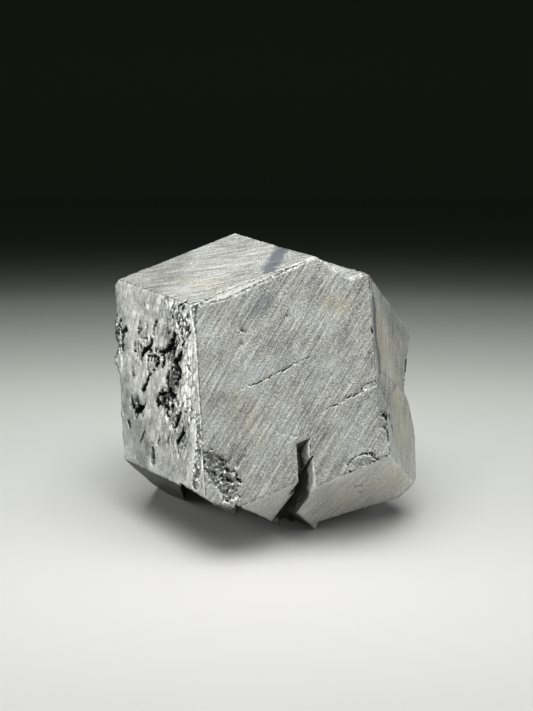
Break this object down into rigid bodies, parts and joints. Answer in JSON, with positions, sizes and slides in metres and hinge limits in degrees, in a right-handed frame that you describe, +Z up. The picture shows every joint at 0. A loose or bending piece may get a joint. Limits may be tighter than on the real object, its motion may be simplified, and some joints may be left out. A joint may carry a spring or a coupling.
{
  "type": "magnetite crystal specimen",
  "caption": "Loose dark grey metallic dodecahedral magnetite crystal with growth steps, a pitted side, a re-entrant slot and a broken base that it rests on.",
  "frame": {"origin": "middle of the specimen's box, on the surface that its broken base rests on", "axes": "+Z up as the crystal rests; -Y out of the broad smooth front face, so the pitted face is on the -X side and the stepped side on +X"},
  "size_m": [0.0378, 0.0406, 0.033],
  "materials": {
    "magnetite": "grey submetallic crystal faces with fine growth striations, black pits and cracks"
  },
  "bodies": {
    "root": {"magnetite_crystal": "magnetite"}
  },
  "joints": []
}
